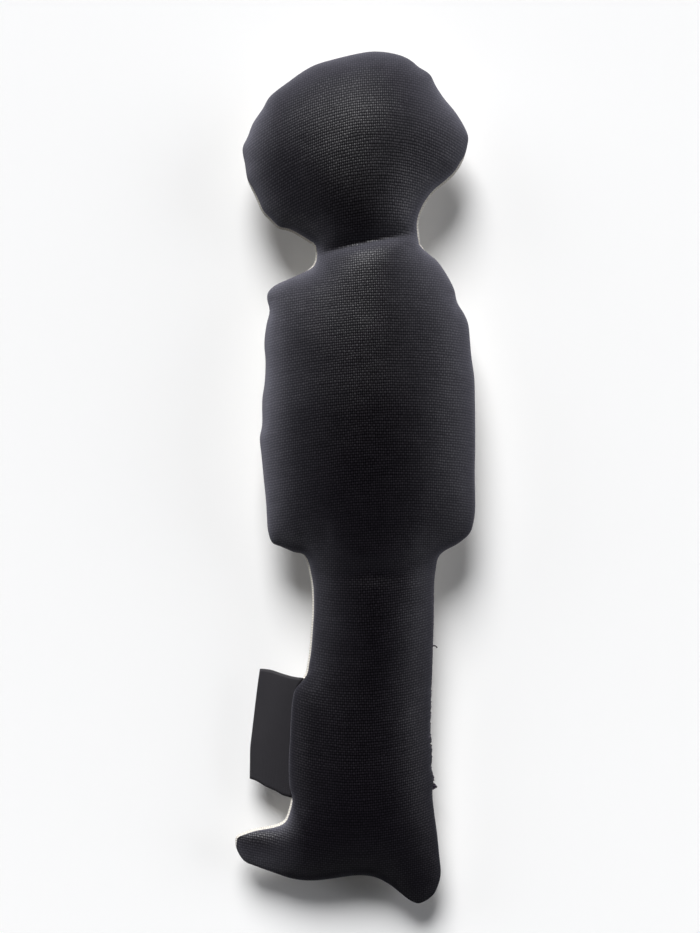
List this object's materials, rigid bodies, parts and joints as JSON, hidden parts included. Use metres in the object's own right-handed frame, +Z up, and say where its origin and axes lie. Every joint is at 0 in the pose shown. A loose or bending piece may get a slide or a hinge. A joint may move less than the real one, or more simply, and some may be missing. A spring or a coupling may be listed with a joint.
{
  "type": "bendy doll",
  "caption": "Flat stuffed linen doll with a broad head, arms merged in the torso, legs together, a boot foot, a folded side label and a bendable wire core.",
  "frame": {"origin": "centre of the doll's outline on the surface that it lies on, face down", "axes": "+Y from the foot to the head, +Z up out of the doll's back, +X to the side away from the toe"},
  "size_m": [0.0546, 0.1938, 0.0235],
  "materials": {
    "black_linen": "matt plain-weave linen, black with a slight blue cast",
    "natural_linen": "matt plain-weave linen, undyed",
    "fibre_fill": "loose white fibre",
    "aluminium_wire": "soft drawn wire",
    "cloth_tape": "matt cloth tape",
    "black_ribbon": "smooth ribbon with fine ribs, cut edges frayed",
    "black_thread": "matt sewing thread"
  },
  "bodies": {
    "pelvis": {"pelvis_back_panel": "black_linen", "pelvis_front_panel": "natural_linen", "pelvis_stuffing": "fibre_fill", "pelvis_wire": "aluminium_wire", "hip_back_panel": "black_linen", "hip_front_panel": "natural_linen", "hip_stuffing": "fibre_fill"},
    "chest": {"chest_back_panel": "black_linen", "chest_front_panel": "natural_linen", "chest_stuffing": "fibre_fill", "chest_wire": "aluminium_wire", "waist_back_panel": "black_linen", "waist_front_panel": "natural_linen", "waist_stuffing": "fibre_fill"},
    "neck": {"neck_back_panel": "black_linen", "neck_front_panel": "natural_linen", "neck_stuffing": "fibre_fill", "neck_wire": "aluminium_wire"},
    "head": {"head_back_panel": "black_linen", "head_front_panel": "natural_linen", "head_stuffing": "fibre_fill", "head_wire": "aluminium_wire", "head_loop_binding": "cloth_tape"},
    "thigh": {"thigh_back_panel": "black_linen", "thigh_front_panel": "natural_linen", "thigh_stuffing": "fibre_fill", "thigh_wire": "aluminium_wire", "knee_back_panel": "black_linen", "knee_front_panel": "natural_linen", "knee_stuffing": "fibre_fill"},
    "shin": {"shin_back_panel": "black_linen", "shin_front_panel": "natural_linen", "shin_stuffing": "fibre_fill", "shin_wire": "aluminium_wire", "closing_thread": "black_thread", "ankle_back_panel": "black_linen", "ankle_front_panel": "natural_linen", "ankle_stuffing": "fibre_fill"},
    "foot": {"foot_back_panel": "black_linen", "foot_front_panel": "natural_linen", "foot_stuffing": "fibre_fill", "foot_wire": "aluminium_wire", "foot_loop_binding": "cloth_tape"},
    "label": {"label_loop": "black_ribbon"}
  },
  "joints": [
    {"name": "waist_bend", "type": "hinge", "parent": "pelvis", "child": "chest", "pos_m": [0.00273, 0.01572, 0.0116], "axis": [1, 0, 0], "range_deg": [-35, 35], "deforming": ["waist_back_panel", "waist_front_panel", "waist_stuffing"]},
    {"name": "neck_nod", "type": "hinge", "parent": "chest", "child": "neck", "pos_m": [0.00273, 0.04925, 0.011], "axis": [1, 0, 0], "range_deg": [-40, 40], "deforming": ["neck_back_panel", "neck_front_panel", "neck_stuffing"]},
    {"name": "head_turn", "type": "hinge", "parent": "neck", "child": "head", "pos_m": [0.00273, 0.05675, 0.01092], "axis": [0, 1, 0], "range_deg": [-20, 20]},
    {"name": "hip_bend", "type": "hinge", "parent": "pelvis", "child": "thigh", "pos_m": [0.00273, -0.02034, 0.0106], "axis": [1, 0, 0], "range_deg": [-50, 50], "deforming": ["hip_back_panel", "hip_front_panel", "hip_stuffing"]},
    {"name": "knee_bend", "type": "hinge", "parent": "thigh", "child": "shin", "pos_m": [0.00273, -0.03917, 0.0089], "axis": [1, 0, 0], "range_deg": [-60, 60], "deforming": ["knee_back_panel", "knee_front_panel", "knee_stuffing"]},
    {"name": "ankle_bend", "type": "hinge", "parent": "shin", "child": "foot", "pos_m": [0.00273, -0.07524, 0.0082], "axis": [1, 0, 0], "range_deg": [-30, 30], "deforming": ["ankle_back_panel", "ankle_front_panel", "ankle_stuffing"]},
    {"name": "label_fold", "type": "hinge", "parent": "shin", "child": "label", "pos_m": [-0.01378, -0.05887, 0.00852], "axis": [-0.1291, -0.9914, -0.0192], "range_deg": [-55, 80], "stiffness_Nm_per_rad": 0.0001}
  ]
}
